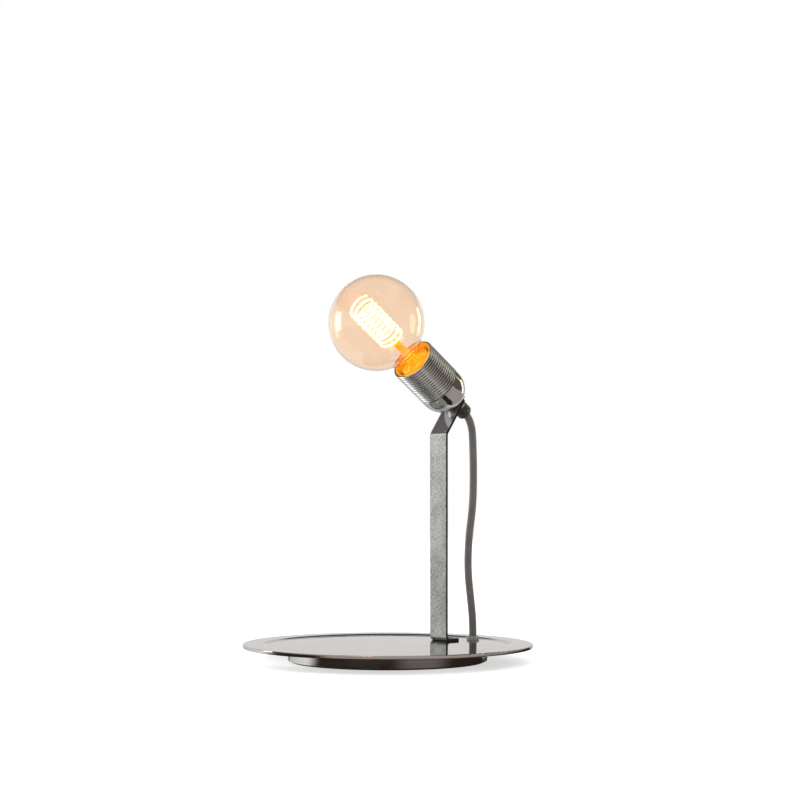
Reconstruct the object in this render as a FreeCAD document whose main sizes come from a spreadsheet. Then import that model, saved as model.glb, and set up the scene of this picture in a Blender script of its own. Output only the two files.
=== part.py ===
import FreeCAD, Part
import math
import os
import re
import Sketcher
from FreeCAD import Placement, Rotation, Vector

# A bare bulb table lamp: a polished steel disc on a heavy plinth carries a bent strap, the strap
# carries a lampholder that leans forward, and a large clear globe bulb screws into it.
# Origin: the middle of the felt's underside. The bulb leans to -Y, the strap stands at +Y.
# Millimetres and degrees.

SIZES = {
    # base
    "disc_radius": 121.0,
    "disc_thick": 3.0,
    "rim_top": 15.0,
    "recess_depth": 1.2,
    "recess_radius": 98.0,
    "step_run": 7.0,
    "disc_edge": 0.6,
    "plinth_radius": 83.0,
    "plinth_edge": 0.8,
    "felt_radius": 80.0,
    "felt_thick": 1.0,
    "boss_circle": 50.0,
    "boss_radius": 6.0,
    "boss_tall": 4.0,
    "boss_clear": 0.2,
    "boss_floor": 0.5,
    "slot_room": 2.0,
    "plinth_screw_radius": 2.5,
    "plinth_screw_long": 8.0,
    # strap
    "strap_front": 57.65,
    "strap_wide": 20.0,
    "strap_thick": 2.0,
    "foot_long": 15.0,
    "foot_bend": 2.0,
    "top_bend": 4.0,
    "bend_height": 191.2,
    "tilt": 35.1,
    "plate_hole_up": 33.7,
    "strap_screw_radius": 2.0,
    "strap_screw_gap": 10.0,
    "strap_washer_thick": 1.0,
    # lampholder, along its own axis from the front of the strap's plate
    "cap_radius": 20.0,
    "cap_flat": 8.0,
    "cap_wall": 1.0,
    "cap_long": 24.6,
    "sleeve_end": 60.0,
    "sleeve_wall": 3.0,
    "sleeve_neck": 6.6,
    "sleeve_mouth": 16.6,
    "rib_pitch": 2.5,
    "rib_deep": 0.8,
    "nipple_radius": 5.0,
    "nipple_bore": 3.6,
    "nipple_inside": 9.0,
    "nipple_outside": 11.0,
    "nut_flats": 13.0,
    "nut_thick": 2.5,
    "washer_thick": 1.0,
    "washer_radius": 7.0,
    "grip_radius": 6.75,
    "grip_long": 11.0,
    "grip_nose": 2.5,
    "grip_flare": 0.8,
    "grip_screw_at": 7.1,
    "grip_screw_radius": 1.5,
    "grip_screw_proud": 0.4,
    "terminal_radius": 1.5,
    "insert_floor": 28.0,
    "insert_rim": 34.0,
    "shell_end": 54.0,
    "shell_inside": 13.4,
    "shell_wall": 0.4,
    "rib_room": 0.6,
    "thread_pitch": 3.62,
    "thread_turns": 5,
    "tongue_root": 10.0,
    "tongue_bend": 5.0,
    "tongue_end": 3.5,
    "tongue_wide": 6.0,
    # bulb
    "globe_radius": 40.0,
    "globe_centre": 109.4,
    "glass_wall": 0.8,
    "neck_radius": 12.6,
    "bulb_tip": 31.4,
    "bulb_cap_crest": 13.1,
    "bulb_cap_rim": 13.9,
    "bulb_cap_end": 59.0,
    "bulb_foot": 2.0,
    "bulb_foot_radius": 7.0,
    "thread_from": 5.0,
    "button_narrow": 5.0,
    "button_wide": 6.5,
    "button_tall": 3.0,
    "solder_crown": 3.0,
    "solder_sag": 0.3,
    "solder_wide": 4.5,
    "solder_tall": 0.8,
    "flare_edge": 1.0,
    "flare_tall": 9.0,
    "flare_bend": 10.0,
    "stem_waist": 4.0,
    "stem_radius": 3.2,
    "stem_round": 1.0,
    "pinch_long": 8.0,
    "stem_top": 84.0,
    "support_apart": 0.9,
    "support_rise": 1.2,
    "support_above": 2.8,
    "filament_start": 88.0,
    "filament_end": 132.0,
    "filament_radius": 10.2,
    "filament_wire": 0.8,
    "filament_turns": 9,
    # lead
    "cord_radius": 3.25,
    "cord_rest": 3.7,
    "cord_pitch": 6.95,
    "cord_eye": 13.0,
    "lay_angle": 48.5,
    "switch_inside": 8.0,
    "coil_beyond": 20.0,
    "plug_beyond": 1.0,
    "grommet_x": 7.0,
    "grommet_y": 92.3,
    "grommet_collar": 5.4,
    "grommet_hole": 4.5,
    "grommet_tall": 2.8,
    "grommet_lip": 1.2,
    "tie_thick": 0.4,
    "tie_wide": 4.0,
    # in-line switch
    "switch_long": 50.0,
    "switch_wide": 18.0,
    "switch_tall": 11.5,
    "switch_wall": 1.4,
    "switch_corner": 4.0,
    "rocker_long": 14.0,
    "rocker_wide": 8.0,
    "rocker_swing": 8.0,
    "rocker_axis": 9.2,
    "rocker_low": 1.0,
    "rocker_sag": 0.8,
    "rocker_dish": 35.0,
    "switch_cord_in": 8.0,
    "screw_along": 13.0,
    "screw_aside": 5.6,
    "screw_thin": 1.25,
    "screw_head": 2.1,
    "pillar_radius": 2.4,
    "trunnion_radius": 1.2,
    "rib_thick": 1.2,
    "rib_half": 3.0,
    "rocker_high": 3.4,
    "contact_out": 6.5,
    "contact_top": 7.1,
    "contact_half": 1.2,
    "core_radius": 1.1,
    "core_aside": 1.6,
    "core_drop": 0.85,
    "core_apart": 1.3,
    "core_spread": 3.4,
    # plug
    "plug_wide": 35.3,
    "plug_thick": 13.0,
    "plug_long": 16.0,
    "plug_corner": 2.0,
    "plug_neck_long": 22.0,
    "plug_neck_root": 1.9,
    "plug_neck_wall": 0.6,
    "plug_end_thick": 10.5,
    "pin_radius": 2.0,
    "pin_long": 19.0,
    "pin_gap": 18.6,
    # fits
    "fit": 0.1,
    "thread_fit": 0.05,
    "seat": 0.3,
    "spare": 1.0,
}

# Sizes that follow from the others, by name.
WORKED_OUT = {
    "recess_floor": "(rim_top - recess_depth)",
    "disc_under": "(rim_top - disc_thick)",
    "recess_under": "(recess_floor - disc_thick)",
    "step_outer": "(recess_radius + step_run)",
    "step_bend": "(((step_run / 2)^2 + (recess_depth / 2)^2) / recess_depth)",
    "boss_under": "(recess_under - boss_tall)",
    "strap_screw_y": "(strap_front + strap_thick + foot_bend + (foot_long - strap_thick - foot_bend) / 2)",
    "strap_head_under": "(recess_under - strap_washer_thick - strap_head_tall)",
    "strap_head_tall": "(strap_screw_radius * 1.3)",
    "strap_head_radius": "(strap_screw_radius * 1.75)",
    "plate_end": "(plate_hole_up + strap_wide / 2)",
    "half_turn": "tan(tilt / 2)",
    "axis_y": "(strap_front + plate_hole_up * sin(tilt))",
    "axis_z": "(bend_height + plate_hole_up * cos(tilt))",
    "cap_middle": "sqrt(cap_radius^2 - cap_flat^2)",
    "cap_hollow": "(cap_radius - cap_wall)",
    "sleeve_bore": "(cap_radius - sleeve_wall)",
    "neck_outer": "(cap_hollow - fit)",
    "insert_flange": "(neck_outer - fit)",
    "insert_bottom": "(cap_middle - sqrt(cap_hollow^2 - insert_flange^2) + fit)",
    "insert_ledge": "(cap_long - sleeve_neck)",
    "insert_wall": "(sleeve_bore - fit)",
    "insert_cup": "(shell_inside + shell_wall + rib_room + fit)",
    "nut_under": "(-strap_thick - washer_thick)",
    "grip_top": "(nut_under - nut_thick)",
    "terminal_deep": "((insert_floor - insert_bottom) / 2)",
    "terminal_out": "(cap_flat + cap_wall)",
    "terminal_head": "(terminal_radius * 2)",
    "tongue_top": "(bulb_tip - thread_fit)",
    "thread_start": "(bulb_tip + thread_from)",
    "thread_top": "(thread_start + thread_turns * thread_pitch)",
    "wave_deep": "((thread_pitch / 2)^2 + rib_room^2)",
    "cap_shoulder": "(thread_top + bulb_cap_rim - bulb_cap_crest + rib_room)",
    "neck_bend": "((neck_radius^2 + neck_drop^2 - globe_radius^2) / (2 * (globe_radius - neck_radius)))",
    "neck_drop": "(globe_centre - bulb_cap_end)",
    "tie_inner": "(2 * cord_eye + cord_pitch / 2 - cord_radius)",
    "tie_outer": "(2 * cord_eye + 9 * cord_pitch / 2 + cord_radius)",
}

doc = FreeCAD.newDocument("bare_bulb_table_lamp")
sheet = doc.addObject("Spreadsheet::Sheet", "Sizes")
for row, (name, size) in enumerate(SIZES.items(), start=1):
    sheet.set(f"A{row}", name)
    sheet.set(f"B{row}", str(size))
    sheet.setAlias(f"B{row}", name)
doc.recompute()


def bound(text):
    """The text as an expression on the sheet's cells."""

    def cell(word):
        if word[0] in WORKED_OUT:
            return bound(WORKED_OUT[word[0]])
        return f"Sizes.{word[0]}" if word[0] in SIZES else word[0]

    return re.sub(r"[a-z]\w*", cell, str(text))


def value(text):
    """The number that an expression comes to."""
    return float(sheet.evalExpression(bound(text)))


# ---- Makers -------------------------------------------------------------------------------------

sub_parts = []


def new_body(name):
    body = doc.addObject("PartDesign::Body", name)
    sub_parts.append(body)
    return body


def on_holder_axis(body):
    """Put a body on the holder's axis: its Z runs out towards the bulb, its Y up the plate."""
    body.Placement = Placement(Vector(), Rotation(Vector(1, 0, 0), 10))
    body.setExpression("Placement.Base.y", bound("axis_y"))
    body.setExpression("Placement.Base.z", bound("axis_z"))
    body.setExpression("Placement.Rotation.Angle", bound("90 - tilt"))


def new_sketch(body, plane, away=None, across=None, up=None):
    """An empty sketch on one of the body's own planes, or moved from it: away along its normal,
    across along its first axis and up along its second."""
    sketch = body.newObject("Sketcher::SketchObject", f"{body.Name}_sketch")
    support = next(part for part in body.Origin.OriginFeatures if part.Role == plane)
    sketch.AttachmentSupport = [(support, "")]
    sketch.MapMode = "FlatFace"
    for axis, distance in (("x", across), ("y", up), ("z", away)):
        if distance is not None:
            sketch.setExpression(f"AttachmentOffset.Base.{axis}", bound(distance))
    return sketch


def pin_down(sketch, kind, edge, end, size):
    """Hold a point of an edge at a distance from the sketch's origin."""
    number = sketch.addConstraint(Sketcher.Constraint(kind, -1, 1, edge, end, value(size)))
    sketch.setExpression(f"Constraints[{number}]", bound(size))


def arc_between(start, end, radius):
    """The short anticlockwise arc from start to end."""
    chord = end - start
    side = Vector(-chord.y, chord.x, 0).normalize()
    reach = math.sqrt(max(radius ** 2 - (chord.Length / 2) ** 2, 0))
    middle = (start + end) / 2 + side * (reach - radius)
    return Part.Arc(start, middle, end)


def draw(sketch, points):
    """A closed outline. A point's third value is the radius of the arc that leads to it, with a
    minus where that arc turns clockwise."""
    spots = [Vector(value(point[0]), value(point[1]), 0) for point in points]
    count = len(points)
    base = sketch.GeometryCount
    ends = []
    for index in range(count):
        start, end = spots[index], spots[(index + 1) % count]
        target = points[(index + 1) % count]
        if len(target) == 2:
            sketch.addGeometry(Part.LineSegment(start, end))
            ends.append((1, 2))
            continue
        radius = value(target[2])
        if radius > 0:
            sketch.addGeometry(arc_between(start, end, radius))
            ends.append((1, 2))
        else:
            sketch.addGeometry(arc_between(end, start, -radius))
            ends.append((2, 1))
        number = sketch.addConstraint(Sketcher.Constraint("Radius", base + index, abs(radius)))
        sketch.setExpression(f"Constraints[{number}]", bound(f"abs({target[2]})"))
    for index in range(count):
        before = (index - 1) % count
        joint = (base + before, ends[before][1], base + index, ends[index][0])
        sketch.addConstraint(Sketcher.Constraint("Coincident", *joint))
        pin_down(sketch, "DistanceX", base + index, ends[index][0], points[index][0])
        pin_down(sketch, "DistanceY", base + index, ends[index][0], points[index][1])


def draw_circles(sketch, radius, middles):
    """Equal circles about the named middles."""
    for x, y in middles:
        place = Vector(value(x), value(y), 0)
        edge = sketch.addGeometry(Part.Circle(place, Vector(0, 0, 1), value(radius)))
        pin_down(sketch, "DistanceX", edge, 3, x)
        pin_down(sketch, "DistanceY", edge, 3, y)
        number = sketch.addConstraint(Sketcher.Constraint("Radius", edge, value(radius)))
        sketch.setExpression(f"Constraints[{number}]", bound(radius))


def turned(body, points):
    """Revolve an outline, (distance from the axis, height) by point, about the body's Z."""
    sketch = new_sketch(body, "XZ_Plane")
    draw(sketch, points)
    return spun(body, "Revolution", sketch, "V_Axis")


def spun(body, kind, sketch, axis):
    """A Revolution or Groove of a sketch about one of its own axes."""
    feature = body.newObject(f"PartDesign::{kind}", f"{body.Name}_{kind.lower()}")
    feature.Profile = sketch
    feature.ReferenceAxis = (sketch, [axis])
    return feature


def pulled(body, kind, sketch, length, both_ways=False, flip=False):
    """A Pad or Pocket of a sketch."""
    feature = body.newObject(f"PartDesign::{kind}", f"{body.Name}_{kind.lower()}")
    feature.Profile = sketch
    feature.SideType = "Symmetric" if both_ways else "One side"
    feature.Reversed = flip
    feature.setExpression("Length", bound(length))
    return feature


def pad(body, plane, points, length, away=None, both_ways=False):
    sketch = new_sketch(body, plane, away)
    draw(sketch, points)
    return pulled(body, "Pad", sketch, length, both_ways)


def cut(body, plane, points, length, away=None, both_ways=False):
    sketch = new_sketch(body, plane, away)
    draw(sketch, points)
    return pulled(body, "Pocket", sketch, length, both_ways)


def pad_rounds(body, radius, middles, bottom, tall, plane="XY_Plane"):
    """Round pegs that stand on a height."""
    sketch = new_sketch(body, plane, bottom)
    draw_circles(sketch, radius, middles)
    return pulled(body, "Pad", sketch, tall)


def drill(body, radius, middles, top, deep, plane="XY_Plane"):
    """Round holes that go down from a height; the volume they take out is compared."""
    doc.recompute()
    before = body.Shape.Volume
    sketch = new_sketch(body, plane, top)
    draw_circles(sketch, radius, middles)
    feature = pulled(body, "Pocket", sketch, deep)
    doc.recompute()
    if body.Shape.Volume >= before:
        raise RuntimeError(f"{body.Name}: a hole takes nothing out")
    return feature


def ring(inner, outer, bottom, top):
    """The outline of a plain ring or tube."""
    return [(inner, bottom), (outer, bottom), (outer, top), (inner, top)]


def peg(radius, bottom, top):
    """The outline of a plain round peg."""
    return ring("0", radius, bottom, top)


def box(x, y, middle=("0", "0")):
    """A rectangle by its half sizes and its middle."""
    mid_x, mid_y = middle
    return [(f"{mid_x} - ({x})", f"{mid_y} - ({y})"), (f"{mid_x} + {x}", f"{mid_y} - ({y})"),
            (f"{mid_x} + {x}", f"{mid_y} + {y}"), (f"{mid_x} - ({x})", f"{mid_y} + {y}")]


def round_box(x, y, corner):
    """A rectangle about the origin with round corners, by its half sizes."""
    return [(f"{corner} - ({x})", f"-({y})", corner), (f"{x} - {corner}", f"-({y})"),
            (x, f"{corner} - ({y})", corner), (x, f"{y} - {corner}"),
            (f"{x} - {corner}", y, corner), (f"{corner} - ({x})", y),
            (f"-({x})", f"{y} - {corner}", corner), (f"-({x})", f"{corner} - ({y})")]


def hexagon(flats):
    """A hexagon by its size across the flats."""
    return [(f"{flats} / sqrt(3) * cos({60 * side})", f"{flats} / sqrt(3) * sin({60 * side})")
            for side in range(6)]


# ---- Base ---------------------------------------------------------------------------------------

def around(circle, count, start=90):
    """Places spread evenly on a circle."""
    step = 360 / count
    return [(f"{circle} * cos({start + step * turn})", f"{circle} * sin({start + step * turn})")
            for turn in range(count)]


BOSSES = around("boss_circle", 3)
STRAP_SCREWS = [("-strap_screw_gap / 2", "strap_screw_y"), ("strap_screw_gap / 2", "strap_screw_y")]
GROMMET = [("grommet_x", "grommet_y")]


def base_disc():
    """The pressed plate: a flat recess, an S-shaped step and a raised rim, with three weld bosses
    under it."""
    body = new_body("base_disc")
    half_step = "(recess_radius + step_run / 2)"
    half_rise = "recess_depth / 2"
    turned(body, [
        ("0", "recess_under"),
        ("recess_radius", "recess_under"),
        (half_step, f"recess_under + {half_rise}", "step_bend"),
        ("step_outer", "disc_under", "-step_bend"),
        ("disc_radius - disc_edge", "disc_under"),
        ("disc_radius", "disc_under + disc_edge", "disc_edge"),
        ("disc_radius", "rim_top - disc_edge"),
        ("disc_radius - disc_edge", "rim_top", "disc_edge"),
        ("step_outer", "rim_top"),
        (half_step, f"rim_top - {half_rise}", "step_bend"),
        ("recess_radius", "recess_floor", "-step_bend"),
        ("0", "recess_floor"),
    ])
    pad_rounds(body, "boss_radius", BOSSES, "boss_under", "boss_tall")
    drill(body, "plinth_screw_radius", BOSSES, "recess_under - boss_floor", "boss_tall")
    drill(body, "strap_screw_radius + seat", STRAP_SCREWS, "rim_top", "2 * disc_thick")
    drill(body, "grommet_hole", GROMMET, "rim_top", "2 * disc_thick")


def plinth_weight():
    """The turned steel weight, screwed up under the disc."""
    body = new_body("plinth_weight")
    turned(body, [
        ("0", "felt_thick"),
        ("plinth_radius - plinth_edge", "felt_thick"),
        ("plinth_radius", "felt_thick + plinth_edge", "plinth_edge"),
        ("plinth_radius", "recess_under"),
        ("0", "recess_under"),
    ])
    drill(body, "boss_radius + boss_clear", BOSSES, "recess_under", "boss_tall + boss_clear")
    drill(body, "plinth_screw_radius + seat", BOSSES, "recess_under", "disc_radius")
    room = "(strap_head_radius + slot_room)"
    reach = "(strap_screw_gap / 2 + slot_room / 2)"
    low, high = f"strap_screw_y - {room}", f"strap_screw_y + {room}"
    cut(body, "XY_Plane", [
        (f"-{reach}", low, room),
        (reach, low),
        (f"{reach} + {room}", "strap_screw_y", room),
        (reach, high, room),
        (f"-{reach}", high),
        (f"-{reach} - {room}", "strap_screw_y", room),
    ], "disc_radius", both_ways=True)
    countersinks(body)


def countersinks(body):
    """Cone-shaped seats for the plinth screws' heads."""
    sketch = new_sketch(body, "YZ_Plane", across="boss_circle")
    wide = "(plinth_screw_radius * 2 + seat + fit)"
    narrow = "(plinth_screw_radius + seat)"
    draw(sketch, [
        ("0", "0"),
        (f"{wide} + felt_thick", "0"),
        (narrow, f"felt_thick + {wide} - {narrow}"),
        ("0", f"felt_thick + {wide} - {narrow}"),
    ])
    repeat(body, spun(body, "Groove", sketch, "V_Axis"), 3)


def repeat(body, feature, count):
    """Repeat a feature round the body's Z."""
    doc.recompute()
    pattern = body.newObject("PartDesign::PolarPattern", f"{body.Name}_pattern")
    pattern.Originals = [feature]
    axis = next(part for part in body.Origin.OriginFeatures if part.Role == "Z_Axis")
    pattern.Axis = (axis, [""])
    pattern.Angle = 360
    pattern.Occurrences = count
    body.Tip = pattern


def plinth_screws():
    """Three countersunk screws that hold the weight to the disc's bosses."""
    body = new_body("plinth_screws")
    head = "(plinth_screw_radius * 2)"
    shank = "plinth_screw_radius - thread_fit"
    bottom = "(felt_thick + seat)"
    sketch = new_sketch(body, "YZ_Plane", across="boss_circle")
    draw(sketch, [
        ("0", bottom),
        (head, bottom),
        (shank, f"{bottom} + {head} / 2"),
        (shank, f"{bottom} + plinth_screw_long"),
        ("0", f"{bottom} + plinth_screw_long"),
    ])
    repeat(body, spun(body, "Revolution", sketch, "V_Axis"), 3)


def felt_pad():
    body = new_body("felt_pad")
    turned(body, peg("felt_radius", "0", "felt_thick"))


def grommet():
    """The soft grommet in the disc's hole: collar, neck and lower lip."""
    body = new_body("grommet")
    bore = "cord_radius + 1.5 * fit"
    neck = "grommet_hole - fit"
    lip = "recess_under - grommet_lip"
    collar_top = "(recess_floor + grommet_tall)"
    turned(body, [
        (bore, lip),
        ("grommet_collar", lip),
        ("grommet_collar", "recess_under"),
        (neck, "recess_under"),
        (neck, "recess_floor"),
        ("grommet_collar", "recess_floor"),
        ("grommet_collar", f"{collar_top} - grommet_lip"),
        ("grommet_collar - grommet_lip", collar_top, "grommet_lip"),
        (bore, collar_top),
    ])
    body.setExpression("Placement.Base.x", bound("grommet_x"))
    body.setExpression("Placement.Base.y", bound("grommet_y"))


# ---- Strap --------------------------------------------------------------------------------------

def strap():
    """The galvanised strip: a foot bent back, a long upright and a top plate tilted back, which
    ends in a full round about the holder's hole."""
    body = new_body("strap")
    foot_outer = "(foot_bend + strap_thick)"
    top_outer = "((top_bend + strap_thick) * half_turn)"
    top_inner = "(top_bend * half_turn)"
    long = "(plate_end + spare)"
    back = "strap_front + strap_thick"
    drop = "(bend_height - strap_thick * half_turn)"
    pad(body, "YZ_Plane", [
        ("strap_front + foot_long", "recess_floor"),
        ("strap_front + foot_long", "recess_floor + strap_thick"),
        (f"{back} + foot_bend", "recess_floor + strap_thick"),
        (back, f"recess_floor + {foot_outer}", "-foot_bend"),
        (back, f"{drop} - {top_inner}"),
        (f"{back} + {top_inner} * sin(tilt)", f"{drop} + {top_inner} * cos(tilt)", "-top_bend"),
        (f"strap_front + {long} * sin(tilt) + strap_thick * cos(tilt)",
         f"bend_height + {long} * cos(tilt) - strap_thick * sin(tilt)"),
        (f"strap_front + {long} * sin(tilt)", f"bend_height + {long} * cos(tilt)"),
        (f"strap_front + {top_outer} * sin(tilt)", f"bend_height + {top_outer} * cos(tilt)"),
        ("strap_front", f"bend_height - {top_outer}", "top_bend + strap_thick"),
        ("strap_front", f"recess_floor + {foot_outer}"),
        (f"strap_front + {foot_outer}", "recess_floor", foot_outer),
    ], "strap_wide", both_ways=True)
    round_off_plate(body)
    drill(body, "strap_screw_radius", STRAP_SCREWS, "recess_floor + 2 * strap_thick", "4 * strap_thick")


def round_off_plate(body):
    """Cut the plate's end to a full round, and drill the holder's hole at its middle."""
    half = "(strap_wide / 2)"
    sketch = new_sketch(body, "XY_Plane")
    sketch.AttachmentOffset = Placement(Vector(), Rotation(Vector(1, 0, 0), 10))
    sketch.setExpression("AttachmentOffset.Base.y", bound("axis_y"))
    sketch.setExpression("AttachmentOffset.Base.z", bound("axis_z"))
    sketch.setExpression("AttachmentOffset.Rotation.Angle", bound("90 - tilt"))
    draw(sketch, [
        (half, "0", f"-{half}"),
        (f"{half} + spare", "0"),
        (f"{half} + spare", f"{half} + 2 * spare"),
        (f"-{half} - spare", f"{half} + 2 * spare"),
        (f"-{half} - spare", "0"),
        (f"-{half}", "0"),
        ("0", half, f"-{half}"),
    ])
    draw_circles(sketch, "nipple_radius + seat", [("0", "0")])
    pulled(body, "Pocket", sketch, "4 * strap_thick", both_ways=True)


def strap_screws():
    """Two screws that come up through the disc into the strap's tapped foot."""
    body = new_body("strap_screws")
    pad_rounds(body, "strap_head_radius", STRAP_SCREWS, "strap_head_under", "strap_head_tall")
    pad_rounds(body, "strap_screw_radius - thread_fit", STRAP_SCREWS, "strap_head_under",
               "recess_floor + strap_thick - seat - strap_head_under")


def strap_washers():
    body = new_body("strap_washers")
    pad_rounds(body, "strap_head_radius", STRAP_SCREWS, "recess_under - strap_washer_thick",
               "strap_washer_thick")
    drill(body, "strap_screw_radius + fit", STRAP_SCREWS, "recess_under", "2 * strap_washer_thick")


# ---- Lampholder ---------------------------------------------------------------------------------

def holder_cap():
    """The domed cap: a thin shell with a flat seat on the plate and a short straight skirt."""
    body = new_body("holder_cap")
    flat_inside = "sqrt(cap_hollow^2 - (cap_middle - cap_wall)^2)"
    turned(body, [
        ("nipple_radius + seat", "0"),
        ("cap_flat", "0"),
        ("cap_radius", "cap_middle", "cap_radius"),
        ("cap_radius", "cap_long"),
        ("cap_hollow", "cap_long"),
        ("cap_hollow", "cap_middle"),
        (flat_inside, "cap_wall", "-cap_hollow"),
        ("nipple_radius + seat", "cap_wall"),
    ])
    on_holder_axis(body)


def threaded_sleeve():
    """The sleeve that screws into the cap and clamps the insert. Rounded ribs run round all of its
    outside, and its mouth is drawn in."""
    body = new_body("threaded_sleeve")
    count = int(value("(sleeve_end - cap_long - fit) / rib_pitch"))
    root = "(cap_radius - rib_deep)"
    bulge = "((rib_pitch / 2)^2 + rib_deep^2) / (2 * rib_deep)"
    points = [
        ("sleeve_bore", "insert_ledge"),
        ("neck_outer", "insert_ledge"),
        ("neck_outer", "cap_long"),
        (root, "cap_long"),
        (root, f"sleeve_end - {count} * rib_pitch"),
    ]
    points += [(root, f"sleeve_end - {count - rib} * rib_pitch", bulge) for rib in range(1, count + 1)]
    points += [
        ("sleeve_mouth", "sleeve_end"),
        ("sleeve_mouth", "sleeve_end - cap_wall"),
        ("sleeve_bore", "sleeve_end - cap_wall - (sleeve_bore - sleeve_mouth)"),
    ]
    turned(body, points)
    on_holder_axis(body)


def porcelain_insert():
    """The insert: a flange under the sleeve's neck, a thick floor and a cup for the screw shell."""
    body = new_body("porcelain_insert")
    chamfer = "2 * fit"
    turned(body, [
        ("0", "insert_bottom"),
        (f"insert_flange - {chamfer}", "insert_bottom"),
        ("insert_flange", f"insert_bottom + {chamfer}"),
        ("insert_flange", "insert_ledge"),
        ("insert_wall", "insert_ledge"),
        ("insert_wall", "insert_rim"),
        ("insert_cup", "insert_rim"),
        ("insert_cup", "insert_floor"),
        ("0", "insert_floor"),
    ])
    drill(body, "terminal_radius + thread_fit", TERMINALS, "insert_bottom + terminal_deep", "cap_long")
    on_holder_axis(body)


TERMINALS = [("-terminal_out", "0"), ("terminal_out", "0")]


def terminal_screws():
    """The two screws under the insert that clamp the inner leads."""
    body = new_body("terminal_screws")
    pad_rounds(body, "terminal_head", TERMINALS, "insert_bottom - terminal_head", "terminal_head")
    pad_rounds(body, "terminal_radius", TERMINALS, "insert_bottom - terminal_head",
               "terminal_head + terminal_deep - seat")
    on_holder_axis(body)


def screw_shell():
    """The brass shell with a rolled thread, which takes the bulb's cap."""
    body = new_body("screw_shell")
    waves = int(value("(shell_end - insert_floor - shell_wall) / thread_pitch"))
    start = f"(shell_end - {waves} * thread_pitch)"
    swell = "(wave_deep / (2 * rib_room))"
    inside = "shell_inside"
    outside = "shell_inside + shell_wall"
    points = [
        (f"{inside} - cap_wall", "insert_floor"),
        (outside, "insert_floor"),
        (outside, start),
    ]
    points += [(outside, f"{start} + {wave} * thread_pitch", swell) for wave in range(1, waves + 1)]
    points += [(inside, f"{start} + {waves} * thread_pitch")]
    points += [(inside, f"{start} + {waves - wave} * thread_pitch", f"-{swell}")
               for wave in range(1, waves + 1)]
    points += [(inside, "insert_floor + shell_wall"),
               (f"{inside} - cap_wall", "insert_floor + shell_wall")]
    turned(body, points)
    on_holder_axis(body)


def centre_contact():
    """The sprung tongue on the insert's floor, which presses on the bulb's tip."""
    body = new_body("centre_contact")
    pad(body, "XZ_Plane", [
        ("-tongue_root", "insert_floor"),
        ("-tongue_bend", "insert_floor"),
        ("-tongue_bend / 2", "tongue_top - shell_wall"),
        ("tongue_end", "tongue_top - shell_wall"),
        ("tongue_end", "tongue_top"),
        ("-(tongue_bend + shell_wall) / 2", "tongue_top"),
        ("-tongue_bend - shell_wall / 2", "insert_floor + shell_wall"),
        ("-tongue_root", "insert_floor + shell_wall"),
    ], "tongue_wide", both_ways=True)
    on_holder_axis(body)


def nipple():
    """The hollow threaded tube that joins cap, strap and cord grip."""
    body = new_body("nipple")
    turned(body, ring("nipple_bore", "nipple_radius", "-nipple_outside", "nipple_inside"))
    on_holder_axis(body)


def hexagon_nut(name, bottom):
    body = new_body(name)
    pad(body, "XY_Plane", hexagon("nut_flats"), "nut_thick", away=bottom)
    drill(body, "nipple_radius + thread_fit", [("0", "0")], f"{bottom} + 2 * nut_thick", "4 * nut_thick")
    on_holder_axis(body)


def lock_washer():
    body = new_body("lock_washer")
    turned(body, ring("nipple_radius + fit", "washer_radius", "nut_under", "-strap_thick"))
    on_holder_axis(body)


def cord_grip():
    """The cord grip screwed on the nipple's outer end: a round-nosed bush with a flared bore."""
    body = new_body("cord_grip")
    nose = "(grip_top - grip_long)"
    cord_hole = "(cord_radius + fit)"
    turned(body, [
        (f"{cord_hole} + grip_flare", nose),
        ("grip_radius - grip_nose", nose),
        ("grip_radius", f"{nose} + grip_nose", "grip_nose"),
        ("grip_radius", "grip_top"),
        ("nipple_radius + thread_fit", "grip_top"),
        ("nipple_radius + thread_fit", "-nipple_outside"),
        (cord_hole, "-nipple_outside"),
        (cord_hole, f"{nose} + grip_flare"),
    ])
    sketch = new_sketch(body, "YZ_Plane")
    draw_circles(sketch, "grip_screw_radius + thread_fit", [("0", "grip_top - grip_screw_at")])
    pulled(body, "Pocket", sketch, "2 * grip_radius", flip=True)
    on_holder_axis(body)


def grip_screw():
    """The clamp screw in the grip's side."""
    body = new_body("grip_screw")
    sketch = new_sketch(body, "YZ_Plane", "cord_radius + fit")
    draw_circles(sketch, "grip_screw_radius", [("0", "grip_top - grip_screw_at")])
    pulled(body, "Pad", sketch, "grip_radius + grip_screw_proud - cord_radius - fit")
    on_holder_axis(body)


# ---- Bulb ---------------------------------------------------------------------------------------

def bulb_glass():
    """The clear globe, drawn in to a neck that stands in the cap."""
    body = new_body("bulb_glass")
    share = "(globe_radius / (globe_radius + neck_bend))"
    meet_r = f"((neck_radius + neck_bend) * {share})"
    meet_z = f"(globe_centre - neck_drop * {share})"
    inner = "(globe_radius - glass_wall)"
    share_in = f"({inner} / (globe_radius + neck_bend))"
    in_r = f"((neck_radius + neck_bend) * {share_in})"
    in_z = f"(globe_centre - neck_drop * {share_in})"
    foot = "(cap_shoulder + fit)"
    turned(body, [
        ("neck_radius - glass_wall", foot),
        ("neck_radius", foot),
        ("neck_radius", "bulb_cap_end"),
        (meet_r, meet_z, "-neck_bend"),
        ("globe_radius", "globe_centre", "globe_radius"),
        ("0", "globe_centre + globe_radius", "globe_radius"),
        ("0", f"globe_centre + {inner}"),
        (inner, "globe_centre", f"-{inner}"),
        (in_r, in_z, f"-{inner}"),
        ("neck_radius - glass_wall", "bulb_cap_end", "neck_bend + glass_wall"),
    ])
    on_holder_axis(body)


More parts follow.
